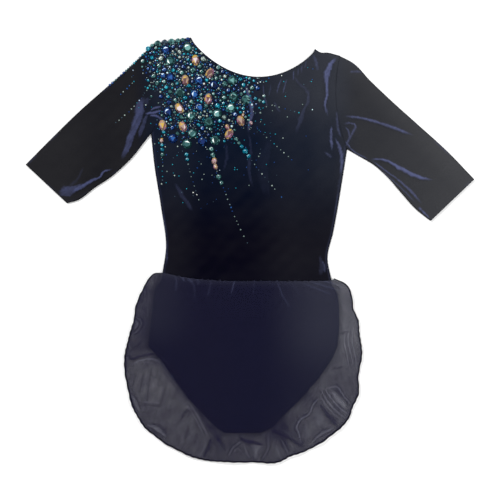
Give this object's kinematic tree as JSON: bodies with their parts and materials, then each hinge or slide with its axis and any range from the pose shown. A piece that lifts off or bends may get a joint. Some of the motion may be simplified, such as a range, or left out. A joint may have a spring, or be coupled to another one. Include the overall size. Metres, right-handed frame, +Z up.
{
  "type": "skating leotard with a net skirt",
  "caption": "Half-sleeved stretch-velvet skating leotard with a sheer net skirt and a spray of cut stones on one shoulder, laid flat on its back",
  "frame": {"origin": "under the middle of the outline, on the surface that the garment lies on", "axes": "+X towards the wearer's left sleeve, across the garment; +Y from the skirt towards the neck; +Z up, off the surface, out of the garment's front"},
  "size_m": [0.672, 0.6374, 0.0093],
  "materials": {
    "velvet": "midnight-blue stretch velvet with a soft nap that shines on its folds",
    "brief": "matte midnight-blue stretch knit",
    "net": "sheer midnight-blue stretch net with a rolled hem",
    "stones": "faceted glass stones with foiled backs in green, sea blue, sapphire and opal"
  },
  "bodies": {
    "root": {"bodice_front": "velvet", "bodice_back": "velvet", "sleeve_right": "velvet", "sleeve_left": "velvet", "brief_front": "brief", "brief_back": "brief", "skirt_front": "net", "skirt_back": "net"}
  },
  "joints": []
}
